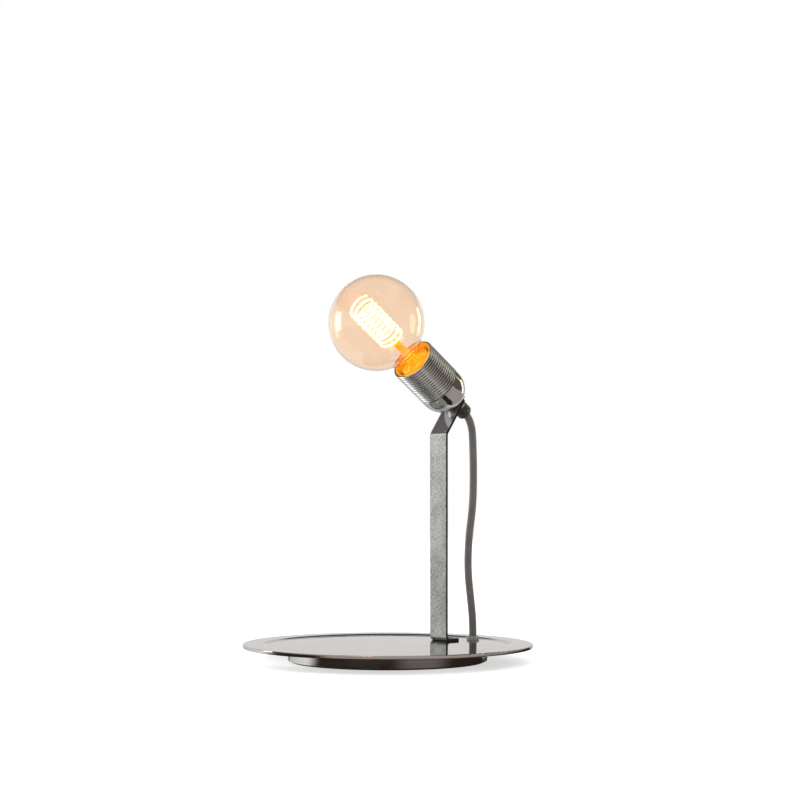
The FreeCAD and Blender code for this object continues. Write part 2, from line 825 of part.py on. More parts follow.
def bulb_cap():
    """The bulb's brass cap: a thin shell with a rolled thread and a plain flared rim."""
    body = new_body("bulb_cap")
    root = "(bulb_cap_crest - rib_room)"
    swell = "(wave_deep / (2 * rib_room))"
    waves = int(value("thread_turns"))
    wall = "shell_wall"
    points = [
        ("bulb_foot_radius", "bulb_tip + bulb_foot"),
        (root, "thread_start"),
    ]
    points += [(root, f"thread_start + {wave} * thread_pitch", swell) for wave in range(1, waves + 1)]
    points += [
        ("bulb_cap_rim", "cap_shoulder"),
        ("bulb_cap_rim", "bulb_cap_end"),
        ("neck_radius + fit", "bulb_cap_end"),
        ("neck_radius + fit", "cap_shoulder"),
        (f"{root} - {wall}", "thread_top"),
        (f"{root} - {wall}", f"thread_start + {wall}"),
        (f"bulb_foot_radius - {wall}", f"bulb_tip + bulb_foot + {wall}"),
    ]
    turned(body, points)
    on_holder_axis(body)


def bulb_insulator():
    """The dark glass button between the cap and its contact."""
    body = new_body("bulb_insulator")
    turned(body, [
        ("0", "bulb_tip + solder_tall"),
        ("button_narrow", "bulb_tip + solder_tall"),
        ("button_wide", "bulb_tip + bulb_foot"),
        ("button_wide", "bulb_tip + button_tall"),
        ("0", "bulb_tip + button_tall"),
    ])
    on_holder_axis(body)


def bulb_contact():
    """The solder tip."""
    body = new_body("bulb_contact")
    crown = "(solder_crown^2 + solder_sag^2) / (2 * solder_sag)"
    turned(body, [
        ("0", "bulb_tip"),
        ("solder_crown", "bulb_tip + solder_sag", crown),
        ("solder_wide", "bulb_tip + solder_tall"),
        ("0", "bulb_tip + solder_tall"),
    ])
    on_holder_axis(body)


def glass_stem():
    """The stem: a flare that closes the neck, and a tube pinched round the support wires."""
    body = new_body("glass_stem")
    flare = "(neck_radius - glass_wall - thread_fit)"
    foot = "(cap_shoulder + fit)"
    turned(body, [
        ("0", foot),
        (flare, foot),
        (flare, f"{foot} + flare_edge"),
        ("stem_waist", f"{foot} + flare_tall", "-flare_bend"),
        ("stem_radius", "stem_top - pinch_long"),
        ("stem_radius", "stem_top - stem_round"),
        ("stem_radius - stem_round", "stem_top", "stem_round"),
        ("0", "stem_top"),
    ])
    on_holder_axis(body)


# ---- Wires and cords ----------------------------------------------------------------------------

def tube(edges, radius):
    """A round wire or cord along a path of tangent edges."""
    path = Part.Wire(edges)
    start = edges[0].valueAt(edges[0].FirstParameter)
    direction = edges[0].tangentAt(edges[0].FirstParameter)
    section = Part.Wire([Part.makeCircle(radius, start, direction)])
    solid = path.makePipeShell([section], True, False)
    expected = math.pi * radius ** 2 * path.Length
    if abs(solid.Volume / expected - 1) > 0.01:
        raise RuntimeError("a tube's volume isn't its section times its length")
    return solid


def routed(points, radius, tight=None):
    """A path of straight runs joined by tangent arcs, each as large as its runs allow. It prints
    the arcs' radii. A tight bend gets the radius given by its place in the route."""
    edges = []
    here = points[0]
    radii = []
    for index in range(1, len(points) - 1):
        corner = points[index]
        back = points[index - 1] - corner
        on = points[index + 1] - corner
        turn = math.pi - back.getAngle(on)
        bend = 0.45 * min(back.Length, on.Length) / math.tan(turn / 2)
        bend = min(bend, (tight or {}).get(index, bend))
        cut_off = bend * math.tan(turn / 2)
        start = corner + back.normalize() * cut_off
        end = corner + on.normalize() * cut_off
        inward = (back + on).normalize()
        middle = corner + inward * (bend / math.cos(turn / 2) - bend)
        edges += [Part.LineSegment(here, start).toShape(), Part.Arc(start, middle, end).toShape()]
        radii.append(round(bend, 1))
        here = end
    edges.append(Part.LineSegment(here, points[-1]).toShape())
    print("bend radii", radii, "wire radius", radius)
    return edges


def shaped(name, shape, on_axis=False):
    """A sub-part whose shape follows a route."""
    part = doc.addObject("Part::Feature", name)
    part.Shape = shape
    if on_axis:
        part.Placement = holder_place()
    sub_parts.append(part)
    return part


def holder_place():
    turn = Rotation(Vector(1, 0, 0), 90 - value("tilt"))
    return Placement(Vector(0, value("axis_y"), value("axis_z")), turn)


def two_arcs(start, leave, end, arrive):
    """The two tangent arcs, of equal reach, from one point and heading to another."""
    span = end - start
    both = leave + arrive
    square = 2 * (1 - leave.dot(arrive))
    across = span.dot(both)
    reach = (-across + math.sqrt(across ** 2 + square * span.dot(span))) / square
    first = start + leave * reach
    last = end - arrive * reach
    join = (first + last) / 2
    return [tangent_arc(start, leave, join), tangent_arc(join, (last - first).normalize(), end)]


def tangent_arc(start, heading, end):
    chord = end - start
    side = (chord - heading * chord.dot(heading)).normalize()
    radius = chord.dot(chord) / (2 * chord.dot(side))
    centre = start + side * radius
    middle = centre + (start + chord / 2 - centre).normalize() * radius
    return Part.Arc(start, middle, end).toShape()


def filament():
    """The long filament: an unbroken helix round the supports, with straight ends."""
    turns = int(value("filament_turns"))
    radius = value("filament_radius")
    low = value("filament_start")
    rise = (value("filament_end") - low) / turns
    steps = 4

    def spot(step):
        angle = 2 * math.pi * step / steps
        return Vector(radius * math.sin(angle), radius * math.cos(angle), low + rise * step / steps)

    def heading(step):
        angle = 2 * math.pi * step / steps
        slope = rise / (2 * math.pi)
        return Vector(radius * math.cos(angle), -radius * math.sin(angle), slope).normalize()

    edges = []
    for step in range(turns * steps):
        edges += two_arcs(spot(step), heading(step), spot(step + 1), heading(step + 1))
    straight = 2 * value("filament_wire")
    first = Part.LineSegment(spot(0) - heading(0) * straight, spot(0)).toShape()
    last_spot, last_heading = spot(turns * steps), heading(turns * steps)
    last = Part.LineSegment(last_spot, last_spot + last_heading * straight).toShape()
    print("filament: gap to itself", round(rise - 2 * value("filament_wire"), 2))
    shaped("filament", tube([first] + edges + [last], value("filament_wire")), on_axis=True)


def filament_supports():
    """The two wires that stand in the stem and carry the filament's ends."""
    wire = value("filament_wire / 2")
    clear = value("filament_wire * 2")
    out = value("filament_radius + filament_wire + fit") + wire
    top, low, high = value("stem_top"), value("filament_start"), value("filament_end")
    apart, rise = value("support_apart"), value("support_rise")
    above = high + value("support_above")
    near = [Vector(-apart, 0, top), Vector(-apart, 0, top + rise),
            Vector(-clear, out / 2, top + 1.5 * rise),
            Vector(-clear, out, low - clear), Vector(-clear, out, low + clear)]
    far = [Vector(apart, 0, top), Vector(apart, 0, above),
           Vector(clear, out / 2, above + rise / 2),
           Vector(clear, out, high + clear), Vector(clear, out, high - clear)]
    wires = [tube(routed(line, wire), wire) for line in (near, far)]
    shaped("filament_supports", Part.makeCompound(wires), on_axis=True)


def inner_leads():
    """The two cores of the lead, from its stripped end in the grip up to the terminal screws."""
    core = value("core_radius")
    start = value("grip_screw_radius - nipple_outside")
    under = value("insert_bottom - terminal_head - thread_fit") - core
    apart, spread, out = value("core_apart"), value("core_spread"), value("terminal_out + spare")
    leads = []
    for side in (-1, 1):
        line = [Vector(side * apart, 0, start), Vector(side * apart, 0, value("nipple_inside - spare")),
                Vector(side * spread, 0, under), Vector(side * out, 0, under)]
        leads.append(tube(routed(line, core), core))
    shaped("inner_leads", Part.makeCompound(leads), on_axis=True)


def lay(right, away, z=None):
    """A place on the table, by its distance to the right and away along the lay of the lead."""
    turn = math.radians(value("lay_angle"))
    rest = value("cord_rest") if z is None else z
    return Vector(right * math.cos(turn) - away * math.sin(turn),
                  right * math.sin(turn) + away * math.cos(turn), rest)


# The middles of the switch, the coil and the plug's face, along the lay of the lead.
SWITCH_AT = (75.0, value("disc_radius - switch_inside"))
COIL_AT = (-51.0, value("disc_radius + coil_beyond"))
PLUG_AT = (33.0, value("disc_radius + plug_beyond"))
GROMMET_CORNER = {10: 7.0}


def lead_route():
    """The lead's line from the grip, down behind the strap, through the grommet and out under the
    rim to the switch."""
    x, y = value("grommet_x"), value("grommet_y")
    axis = holder_place().Rotation.multVec(Vector(0, 0, -1))
    leave = holder_place().Base + axis * value("nipple_outside - grip_screw_radius")
    side, middle = SWITCH_AT
    mouth = value("switch_tall / 2")
    gate = middle - value("switch_long / 2 - switch_cord_in")
    return [
        leave,
        leave + axis * 10,
        Vector(0, 98.0, 198),
        Vector(0, 99.2, 184),
        Vector(0.2, 99.7, 158),
        Vector(0.5, 98.8, 130),
        Vector(1.2, 92.6, 99),
        Vector(2.9, 90.2, 72),
        Vector(5.6, 90.9, 50),
        Vector(x, y, 30),
        Vector(x, y, value("cord_rest")),
        lay(74.2, 71.8),
        lay(side, gate - 12, mouth),
        lay(side, gate, mouth),
    ]


def link_route():
    """From the switch round to the outside of the coil."""
    side, middle = SWITCH_AT
    mouth = value("switch_tall / 2")
    gate = middle + value("switch_long / 2 - switch_cord_in")
    coil_x, coil_y = COIL_AT
    top = coil_y + value("2 * cord_eye + 5 * cord_pitch")
    return [
        lay(side, gate, mouth),
        lay(side, gate + 12.5, mouth),
        lay(side, gate + 26),
        lay(70, gate + 42),
        lay(57, gate + 56),
        lay(37, top),
        lay(10, top + 1.6),
        lay(-18, top),
        lay(coil_x + 2 * value("cord_radius"), top),
    ]


def tail_route():
    """From the coil's inner strand to the plug."""
    side, face = PLUG_AT
    back = face + value("plug_long + plug_neck_long")
    middle = value("plug_end_thick / 2")
    coil_x, coil_y = COIL_AT
    top = coil_y + value("2 * cord_eye + 4 * cord_pitch")
    return [
        lay(coil_x + 2 * value("cord_radius"), top),
        lay(-25, top),
        lay(-5, top - 1.4),
        lay(11.9, top - 4.2),
        lay(21.6, top - 8.2, 4.0),
        lay(29, top - 15.6, 4.6),
        lay(side, back + 9.5, middle),
        lay(side, back, middle),
    ]


def free_cord(name, route, tight=None):
    """A stretch of the lead that isn't coiled."""
    radius = value("cord_radius")
    shaped(name, tube(routed(route, radius, tight), radius))


def strand(half_turns, way):
    """One strand of the flat double spiral, from the middle out, as the three points of each arc:
    half turns whose radii step by half the pitch."""
    coil_x, coil_y = COIL_AT
    reaches = [value(f"2 * cord_eye + {turn} * cord_pitch") for turn in range(half_turns + 1)]
    arcs = []
    here = 0.0
    for turn, reach in enumerate(reaches):
        side = way if turn % 2 else -way
        there = side * reach
        bulge = side * abs(there - here) / 2
        arcs.append((lay(coil_x, coil_y + here), lay(coil_x - bulge, coil_y + (here + there) / 2),
                     lay(coil_x, coil_y + there)))
        here = there
    return arcs


def cord_coil():
    """The put-away length: two strands wound side by side from an S in the middle, lying flat.
    Both ends leave straight, for one diameter."""
    radius = value("cord_radius")
    inward = [(end, middle, start) for start, middle, end in reversed(strand(5, 1))]
    outward = strand(4, -1)
    straight = lay(2 * radius, 0) - lay(0, 0)
    first, last = inward[0][0], outward[-1][2]
    edges = [Part.LineSegment(first + straight, first).toShape()]
    edges += [Part.Arc(*arc).toShape() for arc in inward + outward]
    edges.append(Part.LineSegment(last, last + straight).toShape())
    print("coil: least gap to itself", round(least_gap(inward + outward) - 2 * radius, 2))
    shaped("cord_coil", tube(edges, radius))


def least_gap(arcs):
    """The least distance between the centre lines of turns that aren't neighbours on the way,
    measured on points."""
    lines = [Part.Arc(*arc).toShape().discretize(60) for arc in arcs]
    gaps = [one.distanceToPoint(other)
            for first in range(len(lines)) for second in range(first + 2, len(lines))
            for one in lines[first] for other in lines[second]]
    return min(gaps)


def cord_tie():
    """A flat tie round the five turns on one side of the coil."""
    body = new_body("cord_tie")
    half_long = "(tie_outer - tie_inner) / 2 + fit"
    half_tall = "cord_radius + thread_fit / 2"
    corner = "(cord_radius * 0.9)"
    pad(body, "XZ_Plane", round_box(f"({half_long} + tie_thick)", f"({half_tall} + tie_thick)",
                                    f"({corner} + tie_thick)"), "tie_wide", both_ways=True)
    cut(body, "XZ_Plane", round_box(f"({half_long})", f"({half_tall})", corner),
        "2 * tie_wide", both_ways=True)
    middle = (value("tie_inner") + value("tie_outer")) / 2
    place = lay(COIL_AT[0] - middle, COIL_AT[1] + value("cord_pitch / 2"))
    body.Placement = Placement(place, Rotation(Vector(0, 0, 1), value("lay_angle")))


# ---- Switch -------------------------------------------------------------------------------------

SWITCH_SCREWS = [("screw_along", "screw_aside"), ("-screw_along", "-screw_aside")]


def beside_lay(body, at, height=0.0, tip=0.0):
    """Stand a body on the lay of the lead: its X points away along it."""
    turn = Rotation(Vector(0, 0, 1), value("lay_angle") + 90)
    body.Placement = Placement(lay(*at, height), turn.multiply(Rotation(Vector(0, 1, 0), tip)))


def switch_shell(name, upper):
    """Half of the switch's case: a tray with screw pillars and half of the lead's two gates."""
    body = new_body(name)
    split = "(switch_tall / 2)"
    half_x, half_y, corner = "(switch_long / 2)", "(switch_wide / 2)", "switch_corner"
    pad(body, "XY_Plane", round_box(half_x, half_y, corner), split, away=split if upper else "0")
    tray = round_box(f"({half_x} - switch_wall)", f"({half_y} - switch_wall)",
                     f"({corner} - switch_wall)")
    hollow = f"{split} - switch_wall"
    cut(body, "XY_Plane", tray, hollow, away="switch_tall - switch_wall" if upper else split)
    pad_rounds(body, "pillar_radius", SWITCH_SCREWS, split if upper else "switch_wall", hollow)
    for gate in (half_x, f"3 * switch_wall - {half_x}"):
        drill(body, "cord_radius + fit", [("0", split)], gate, "3 * switch_wall", plane="YZ_Plane")
    return body


def switch_base():
    """The lower half, with the screws' holes and head recesses."""
    body = switch_shell("switch_base", upper=False)
    drill(body, "screw_thin + fit", SWITCH_SCREWS, "switch_tall", "2 * switch_tall")
    drill(body, "screw_head + fit", SWITCH_SCREWS, "switch_wall + fit", "switch_tall")


def switch_cover():
    """The upper half, with the rocker's slot between two ribs that hold its trunnions."""
    body = switch_shell("switch_cover", upper=True)
    rib_y = "(rocker_wide / 2 + seat + rib_thick / 2)"
    rib_low = "rocker_axis - 2 * trunnion_radius"
    for side in ("", "-"):
        pad(body, "XY_Plane", box("rib_half", "rib_thick / 2", ("0", f"{side}{rib_y}")),
            f"switch_tall - switch_wall / 2 - ({rib_low})", away=rib_low)
    cut(body, "XY_Plane", box("rocker_long / 2 + 3 * seat", "rocker_wide / 2 + seat"),
        "2 * switch_wall", away="switch_tall")
    sketch = new_sketch(body, "XZ_Plane")
    draw_circles(sketch, "trunnion_radius + thread_fit", [("0", "rocker_axis")])
    pulled(body, "Pocket", sketch, "rocker_wide + 3 * rib_thick", both_ways=True)
    drill(body, "screw_thin + thread_fit", SWITCH_SCREWS, "switch_tall - 2 * switch_wall",
          "switch_tall / 2")


def switch_rocker():
    """The rocker, pressed down at one end, with a trunnion on each side."""
    body = new_body("switch_rocker")
    half = "rocker_long / 2"
    pad(body, "XZ_Plane", [
        (f"-{half}", "-rocker_low"),
        (half, "-rocker_low"),
        (half, "rocker_high"),
        ("0", "rocker_high - rocker_sag", "-rocker_dish"),
        (f"-{half}", "rocker_high", "-rocker_dish"),
    ], "rocker_wide", both_ways=True)
    sketch = new_sketch(body, "XZ_Plane")
    draw_circles(sketch, "trunnion_radius", [("0", "0")])
    pulled(body, "Pad", sketch, "rocker_wide + 2 * rib_thick", both_ways=True)
    beside_lay(body, SWITCH_AT, value("rocker_axis"), value("rocker_swing"))


def switch_contacts():
    """The two contact posts under the rocker."""
    body = new_body("switch_contacts")
    for side in ("", "-"):
        pad(body, "XY_Plane", box("contact_half", "contact_half", (f"{side}contact_out", "-core_aside")),
            "contact_top - switch_wall", away="switch_wall")


def switch_cores():
    """The lead's cores in the switch: one runs through, the other is broken at the contacts."""
    body = new_body("switch_cores")
    inner = "(switch_long / 2 - switch_cord_in)"
    low = "(switch_tall / 2 - core_drop)"
    bare = f"{inner} - contact_out - contact_half"
    pad_rounds(body, "core_radius", [("core_aside", low)], f"-{inner}", f"2 * {inner}", "YZ_Plane")
    pad_rounds(body, "core_radius", [("-core_aside", low)], f"-{inner}", bare, "YZ_Plane")
    pad_rounds(body, "core_radius", [("-core_aside", low)], "contact_out + contact_half", bare, "YZ_Plane")


def switch_screws():
    """The two screws that close the case from below."""
    body = new_body("switch_screws")
    pad_rounds(body, "screw_head", SWITCH_SCREWS, "fit", "switch_wall")
    pad_rounds(body, "screw_thin", SWITCH_SCREWS, "fit", "switch_tall - 3 * switch_wall")


def in_line_switch():
    switch_base()
    switch_cover()
    switch_contacts()
    switch_cores()
    switch_screws()
    for body in sub_parts[-5:]:
        beside_lay(body, SWITCH_AT)
    switch_rocker()


# ---- Plug ---------------------------------------------------------------------------------------

def plug_body():
    """The flat moulded plug: full width at the pins, drawn in to a tapered neck on the lead."""
    body = new_body("plug_body")
    half_wide = "(plug_wide / 2)"
    end_half = "(cord_radius * 2)"
    pad(body, "XY_Plane", [
        ("0", f"plug_corner - {half_wide}"),
        ("plug_corner", f"-{half_wide}", "plug_corner"),
        ("plug_long / 2", f"-{half_wide}"),
        ("plug_long", f"-{end_half}"),
        ("plug_long", end_half),
        ("plug_long / 2", half_wide),
        ("plug_corner", half_wide),
        ("0", f"{half_wide} - plug_corner", "plug_corner"),
    ], "plug_thick")
    cut(body, "XZ_Plane", [
        ("plug_long / 2", "plug_thick"),
        ("plug_long", "plug_end_thick"),
        ("plug_long + spare", "plug_end_thick"),
        ("plug_long + spare", "plug_thick + spare"),
        ("plug_long / 2", "plug_thick + spare"),
    ], "2 * plug_wide", both_ways=True)
    sketch = new_sketch(body, "XZ_Plane", up="plug_end_thick / 2")
    draw(sketch, [
        ("plug_long - spare", "0"),
        ("plug_long + plug_neck_long", "0"),
        ("plug_long + plug_neck_long", "cord_radius + plug_neck_wall"),
        ("plug_long - spare", "cord_radius + plug_neck_root"),
    ])
    spun(body, "Revolution", sketch, "H_Axis")
    beside_lay(body, PLUG_AT)


def plug_pins():
    """The two round pins, with rounded tips."""
    body = new_body("plug_pins")
    for side in ("", "-"):
        sketch = new_sketch(body, "XY_Plane", away="plug_thick / 2", up=f"{side}pin_gap / 2")
        draw(sketch, [
            ("-pin_long", "0"),
            ("-pin_long + pin_radius", "-pin_radius", "pin_radius"),
            ("0", "-pin_radius"),
            ("0", "0"),
        ])
        spun(body, "Revolution", sketch, "H_Axis")
    beside_lay(body, PLUG_AT)


# ---- The whole lamp -----------------------------------------------------------------------------

def check_all():
    """Every object is up to date and every sub-part is a valid solid."""
    doc.recompute()
    for item in doc.Objects:
        if "Invalid" in item.State or "Error" in item.State:
            raise RuntimeError(f"{item.Name}: {item.State}")
    for part in sub_parts:
        if part.Shape.isNull() or not part.Shape.isValid() or not part.Shape.Solids:
            raise RuntimeError(f"{part.Name}: no valid solid")


def main():
    base_disc()
    plinth_weight()
    plinth_screws()
    felt_pad()
    grommet()
    strap()
    strap_screws()
    strap_washers()
    holder_cap()
    threaded_sleeve()
    porcelain_insert()
    terminal_screws()
    screw_shell()
    centre_contact()
    nipple()
    hexagon_nut("inner_lock_nut", "cap_wall")
    lock_washer()
    hexagon_nut("outer_lock_nut", "grip_top")
    cord_grip()
    grip_screw()
    inner_leads()
    bulb_glass()
    bulb_cap()
    bulb_insulator()
    bulb_contact()
    glass_stem()
    filament_supports()
    filament()
    free_cord("cord_lead", lead_route(), GROMMET_CORNER)
    free_cord("cord_link", link_route())
    cord_coil()
    free_cord("cord_tail", tail_route())
    cord_tie()
    in_line_switch()
    plug_body()
    plug_pins()
    check_all()
    os.makedirs("parts", exist_ok=True)
    for part in sub_parts:
        part.Label = part.Name
        part.Shape.exportStep(f"parts/{part.Label}.step")


main()
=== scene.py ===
import math

import bpy
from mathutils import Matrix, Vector


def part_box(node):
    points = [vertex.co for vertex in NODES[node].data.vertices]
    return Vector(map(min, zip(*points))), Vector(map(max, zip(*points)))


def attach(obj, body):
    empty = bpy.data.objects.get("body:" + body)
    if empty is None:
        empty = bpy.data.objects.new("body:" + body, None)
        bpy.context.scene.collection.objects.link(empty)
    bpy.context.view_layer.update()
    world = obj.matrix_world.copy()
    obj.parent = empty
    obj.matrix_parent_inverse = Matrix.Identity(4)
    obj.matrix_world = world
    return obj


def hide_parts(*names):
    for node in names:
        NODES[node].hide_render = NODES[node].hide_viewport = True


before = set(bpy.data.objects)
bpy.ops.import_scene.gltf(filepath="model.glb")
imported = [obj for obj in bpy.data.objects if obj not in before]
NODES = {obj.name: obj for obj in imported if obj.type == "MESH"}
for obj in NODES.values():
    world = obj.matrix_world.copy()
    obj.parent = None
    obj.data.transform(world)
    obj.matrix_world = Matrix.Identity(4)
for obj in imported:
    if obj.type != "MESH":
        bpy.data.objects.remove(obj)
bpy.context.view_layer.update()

# The looks of the bare bulb table lamp, in metres. The lamp faces -Y and its lead lies out to +Y;
# the lay of the lead is the photograph's own right and away directions.

# ---- Camera -------------------------------------------------------------------------------------

LAY_ANGLE = math.radians(48.5)
RIGHT = Vector((math.cos(LAY_ANGLE), math.sin(LAY_ANGLE), 0))
AWAY = Vector((-math.sin(LAY_ANGLE), math.cos(LAY_ANGLE), 0))

# The camera's place, in metres, and what was measured in the photograph's frame, in its pixels.
CAMERA_DISTANCE = 1.5
CAMERA_HEIGHT = 0.1386
FRAME_PIXELS = 800
FOCAL_PIXELS = 1796
AXIS_PIXEL = 387.7
HORIZON_PIXEL = 495.1
SENSOR_MILLIMETRES = 36


def photo_camera():
    """The photograph's camera: level, a little above the base, with the frame shifted up."""
    data = bpy.data.cameras.new("photo_camera")
    data.sensor_width = SENSOR_MILLIMETRES
    data.lens = SENSOR_MILLIMETRES * FOCAL_PIXELS / FRAME_PIXELS
    data.shift_x = (FRAME_PIXELS / 2 - AXIS_PIXEL) / FRAME_PIXELS
    data.shift_y = (HORIZON_PIXEL - FRAME_PIXELS / 2) / FRAME_PIXELS
    camera = bpy.data.objects.new("photo_camera", data)
    camera.location = -CAMERA_DISTANCE * AWAY + Vector((0, 0, CAMERA_HEIGHT))
    camera.rotation_euler = (math.radians(90), 0, LAY_ANGLE)
    bpy.context.scene.collection.objects.link(camera)
    bpy.context.scene.camera = camera


# ---- Lead ---------------------------------------------------------------------------------------

# Sizes and places as in the part's own source. Pairs are places, as distances to the right and
# away. The lead starts a little short of the grip's middle.
CORD_RADIUS = 0.00325
CORD_REST = 0.0037
CORD_PITCH = 0.00695
CORD_EYE = 0.013
OUTER_STRAND = 5
INNER_STRAND = 4
LEAD_START = 0.0015
SWITCH_AT = (0.075, 0.113)
SWITCH_GATE = 0.017
SWITCH_MOUTH = 0.00575
COIL_AT = (-0.051, 0.141)
COIL_LINE_END = 2 * CORD_RADIUS
PLUG_AT = (0.033, 0.122)
PLUG_BACK = 0.038
PLUG_MOUTH = 0.00525
STEPS_A_HALF_TURN = 8


def lay(right, away, height=CORD_REST):
    """A place on the table, by its distance to the right and away along the lay of the lead."""
    return right * RIGHT + away * AWAY + Vector((0, 0, height))


def middle_of(node):
    """The middle of a node's box."""
    low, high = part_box(node)
    return (low + high) / 2


def smooth_line(name, points):
    """A curve of one open NURBS spline with the route's points as its control points."""
    data = bpy.data.curves.new(name, "CURVE")
    data.dimensions = "3D"
    data.resolution_u = 12
    data.bevel_depth = 1
    data.bevel_resolution = 8
    spline = data.splines.new("NURBS")
    spline.points.add(len(points) - 1)
    for spot, place in zip(spline.points, points):
        spot.co = (*place, 1)
        spot.radius = CORD_RADIUS
    spline.order_u = 3
    spline.use_endpoint_u = True
    piece = bpy.data.objects.new(name, data)
    bpy.context.scene.collection.objects.link(piece)
    return piece


def upper_lead():
    """The lead from the grip on the holder, down through the grommet and out to the switch."""
    grip = middle_of("cord_grip")
    outward = (grip - middle_of("nipple")).normalized()
    leave = grip - outward * LEAD_START
    x, y = middle_of("grommet").xy
    side, middle = SWITCH_AT
    gate = middle - SWITCH_GATE
    lead = smooth_line("lead_upper", [
        leave,
        leave + outward * 0.010,
        Vector((0, 0.0980, 0.198)),
        Vector((0, 0.0992, 0.184)),
        Vector((0.0002, 0.0997, 0.158)),
        Vector((0.0005, 0.0988, 0.130)),
        Vector((0.0012, 0.0926, 0.099)),
        Vector((0.0029, 0.0902, 0.072)),
        Vector((0.0056, 0.0909, 0.050)),
        Vector((x, y, 0.030)),
        Vector((x, y, CORD_REST)),
        lay(0.0742, 0.0718),
        lay(side, gate - 0.012, SWITCH_MOUTH),
        lay(side, gate, SWITCH_MOUTH),
    ])
    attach(lead, "lamp")
    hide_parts("cord_lead")
    return lead


def strand(half_turns, way):
    """One strand of the flat coil from the middle out: half turns whose reach grows by a pitch.
    A control point stands outside its turn, so that the spline keeps the turn's own radius."""
    right, away = COIL_AT
    step = math.pi / STEPS_A_HALF_TURN
    points = []
    here = 0
    for turn in range(half_turns + 1):
        side = way if turn % 2 else -way
        there = side * (2 * CORD_EYE + turn * CORD_PITCH)
        centre, radius = (here + there) / 2, abs(there - here) / 2
        outside = radius / math.cos(step / 2)
        towards = 1 if there > here else -1
        for index in range(STEPS_A_HALF_TURN):
            angle = (index + 0.5) * step
            points.append(lay(right - side * outside * math.sin(angle),
                              away + centre - towards * outside * math.cos(angle)))
        here = there
    return points


def lower_lead():
    """The lead from the switch through the flat coil of the put-away length to the plug."""
    side, middle = SWITCH_AT
    gate = middle + SWITCH_GATE
    outer = COIL_AT[1] + 2 * CORD_EYE + OUTER_STRAND * CORD_PITCH
    inner = COIL_AT[1] + 2 * CORD_EYE + INNER_STRAND * CORD_PITCH
    coil_side = COIL_AT[0] + COIL_LINE_END
    plug_side, face = PLUG_AT
    back = face + PLUG_BACK
    lead = smooth_line("lead_lower", [
        lay(side, gate, SWITCH_MOUTH),
        lay(side, gate + 0.0125, SWITCH_MOUTH),
        lay(side, gate + 0.026),
        lay(0.070, gate + 0.042),
        lay(0.057, gate + 0.056),
        lay(0.037, outer),
        lay(0.010, outer + 0.0016),
        lay(-0.018, outer),
        lay(coil_side, outer),
        *reversed(strand(OUTER_STRAND, 1)),
        *strand(INNER_STRAND, -1),
        lay(coil_side, inner),
        lay(-0.025, inner),
        lay(-0.005, inner - 0.0014),
        lay(0.0119, inner - 0.0042),
        lay(0.0216, inner - 0.0082, 0.0040),
        lay(0.029, inner - 0.0156, 0.0046),
        lay(plug_side, back + 0.0095, PLUG_MOUTH),
        lay(plug_side, back, PLUG_MOUTH),
    ])
    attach(lead, "lamp")
    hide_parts("cord_link", "cord_coil", "cord_tail")
    return lead


# ---- Materials ----------------------------------------------------------------------------------

MOTTLE_LOW = 0.3
MOTTLE_HIGH = 0.7


class NodeTree:
    """A node tree, with short ways to add its nodes and to join them."""

    def __init__(self, tree):
        self.tree = tree

    def node(self, kind, **settings):
        made = self.tree.nodes.new(kind)
        for name, value in settings.items():
            setattr(made, name, value)
        return made

    def link(self, start, end):
        self.tree.links.new(start, end)

    def step(self, factor, start, end):
        """0 at start, 1 at end, smooth between and flat outside."""
        made = self.node("ShaderNodeMapRange", interpolation_type="SMOOTHSTEP")
        made.inputs["From Min"].default_value = start
        made.inputs["From Max"].default_value = end
        self.link(factor, made.inputs["Value"])
        return made.outputs["Result"]

    def combine(self, operation, one, other=0.0):
        """One number put together with another; the other is an output or a plain number."""
        made = self.node("ShaderNodeMath", operation=operation)
        self.link(one, made.inputs[0])
        if isinstance(other, float):
            made.inputs[1].default_value = other
        else:
            self.link(other, made.inputs[1])
        return made.outputs["Value"]

    def vector(self, operation, one, other=None):
        """A vector put together with a plain one."""
        made = self.node("ShaderNodeVectorMath", operation=operation)
        self.link(one, made.inputs[0])
        if other is not None:
            made.inputs[1].default_value = other
        return made.outputs

    def blend(self, factor, first, second):
        """The first colour at 0, the second at 1. Each is a colour or an output."""
        made = self.node("ShaderNodeMix", data_type="RGBA")
        self.link(factor, made.inputs["Factor"])
        for socket, colour in (("A", first), ("B", second)):
            if isinstance(colour, tuple):
                made.inputs[socket].default_value = (*colour, 1)
            else:
                self.link(colour, made.inputs[socket])
        return made.outputs["Result"]


